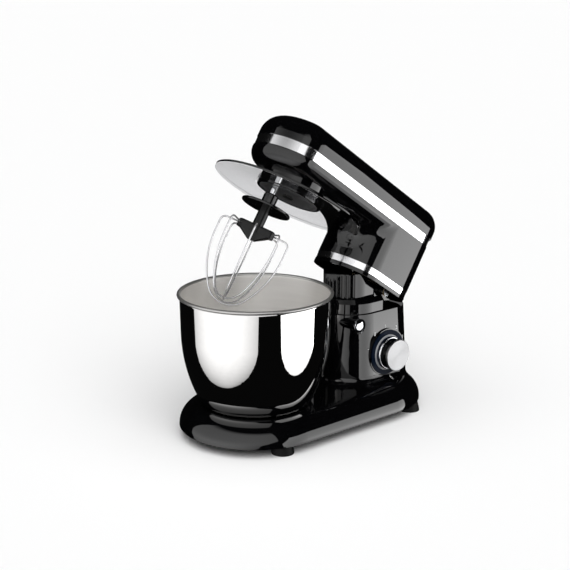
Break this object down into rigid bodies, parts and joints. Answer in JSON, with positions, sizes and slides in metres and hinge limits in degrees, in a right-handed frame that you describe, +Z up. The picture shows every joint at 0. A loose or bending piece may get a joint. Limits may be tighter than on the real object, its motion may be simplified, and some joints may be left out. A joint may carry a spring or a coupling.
{
  "type": "stand mixer",
  "caption": "Gloss black kitchen stand mixer with a raised tilting head, silver bands, wire whisk, clear splash guard and polished steel bowl on a rounded base.",
  "frame": {"origin": "on the table under the middle of the overall box, head raised", "axes": "+Z up, -Y towards the nose of the head and the bowl, +X towards the speed knob"},
  "size_m": [0.224, 0.4384, 0.4515],
  "materials": {
    "gloss_black": "polished black moulding",
    "satin_black": "satin black moulding",
    "rubber_black": "matt black rubber",
    "silver_trim": "bright silver strip",
    "bowl_steel": "polished outside, satin inside",
    "bowl_base_steel": "satin",
    "chrome": "polished",
    "brushed_aluminium": "spun finish",
    "dial_grey": "grey with plain marks",
    "light_blue": "dark blue light guide",
    "clear_guard": "clear smoky plastic",
    "wire_steel": "bright wire",
    "zinc_steel": "zinc plated",
    "gear_steel": "machined",
    "cast_aluminium": "die cast",
    "lamination": "stacked sheet",
    "copper": "lacquered copper",
    "tan_plastic": "moulded",
    "board_green": "circuit board"
  },
  "bodies": {
    "base": {"base_housing": "gloss_black", "bottom_plate": "satin_black", "bottom_screws": "zinc_steel", "suction_feet": "rubber_black", "cord_gland": "satin_black", "bowl_seat_plate": "satin_black", "seat_screws": "zinc_steel", "column_collar": "gloss_black", "hinge_tower": "gloss_black", "hinge_pin": "zinc_steel", "light_ring": "light_blue", "dial_plate": "dial_grey", "rotary_switch": "tan_plastic", "control_board": "board_green"},
    "speed_knob": {"switch_shaft": "zinc_steel", "knob_skirt": "chrome", "knob_grip": "gloss_black", "knob_cap": "brushed_aluminium"},
    "release_lever": {"release_stem": "gloss_black", "release_cap": "chrome", "latch_arm": "zinc_steel"},
    "mixing_bowl": {"bowl": "bowl_steel", "bowl_foot": "bowl_base_steel"},
    "head": {"head_upper_shell": "gloss_black", "head_lower_shell": "gloss_black", "head_trim_band": "silver_trim", "neck_trim_band": "silver_trim", "rear_cover": "gloss_black", "hinge_bushes": "tan_plastic", "hub_housing": "gloss_black", "ring_gear": "gear_steel", "gearbox_plate": "cast_aluminium", "gearbox_cover": "cast_aluminium", "ball_bearings": "zinc_steel", "drive_belt": "rubber_black", "motor_frame": "cast_aluminium", "motor_stator": "lamination", "field_coils": "copper", "brush_holders": "tan_plastic", "motor_mounts": "rubber_black"},
    "planet_carrier": {"carrier_disc": "gloss_black", "carrier_shaft": "zinc_steel", "carrier_nut": "chrome", "main_gear": "gear_steel"},
    "beater": {"planet_pinion": "gear_steel", "beater_shaft": "chrome", "cross_pin": "zinc_steel", "whisk_sleeve": "chrome", "dough_guard": "satin_black", "whisk_hub": "satin_black", "whisk_wires": "wire_steel"},
    "intermediate_shaft": {"countershaft": "zinc_steel", "large_pulley": "cast_aluminium"},
    "rotor": {"motor_shaft": "zinc_steel", "armature": "lamination", "commutator": "copper", "cooling_fan": "tan_plastic", "motor_pulley": "cast_aluminium"},
    "guard": {"splash_guard": "clear_guard"}
  },
  "joints": [
    {"name": "head_tilt", "type": "hinge", "parent": "base", "child": "head", "pos_m": [0, 0.11785, 0.176], "axis": [1, 0, 0], "range_deg": [0, 33.3]},
    {"name": "speed_knob_turn", "type": "hinge", "parent": "base", "child": "speed_knob", "pos_m": [0.066, 0.10485, 0.088], "axis": [1, 0, 0], "range_deg": [-210, 30]},
    {"name": "release_turn", "type": "hinge", "parent": "base", "child": "release_lever", "pos_m": [0.06, 0.03985, 0.142], "axis": [1, 0, 0], "range_deg": [-25, 0], "stiffness_Nm_per_rad": 0.5},
    {"name": "bowl_turn", "type": "hinge", "parent": "base", "child": "mixing_bowl", "pos_m": [0, -0.10815, 0.033], "axis": [0, 0, 1], "range_deg": [-30, 0]},
    {"name": "carrier_spin", "type": "hinge", "parent": "head", "child": "planet_carrier", "pos_m": [0, -0.04579, 0.33853], "axis": [0, 0.549, 0.8358], "continuous": true},
    {"name": "beater_spin", "type": "hinge", "parent": "planet_carrier", "child": "beater", "pos_m": [0, -0.06192, 0.36588], "axis": [0, 0.549, 0.8358], "continuous": true},
    {"name": "countershaft_spin", "type": "hinge", "parent": "head", "child": "intermediate_shaft", "pos_m": [0, 0.01224, 0.34946], "axis": [0, 0.549, 0.8358], "continuous": true},
    {"name": "motor_spin", "type": "hinge", "parent": "head", "child": "rotor", "pos_m": [0, 0.12839, 0.25761], "axis": [0, 0.549, 0.8358], "continuous": true},
    {"name": "guard_turn", "type": "hinge", "parent": "head", "child": "guard", "pos_m": [0, -0.04579, 0.33853], "axis": [0, 0.549, 0.8358], "range_deg": [0, 20]}
  ],
  "couplings": [
    {"joint": "beater_spin", "follows": "carrier_spin", "ratio": -3.7143},
    {"joint": "countershaft_spin", "follows": "carrier_spin", "ratio": -4.6667},
    {"joint": "motor_spin", "follows": "carrier_spin", "ratio": -17.5}
  ]
}
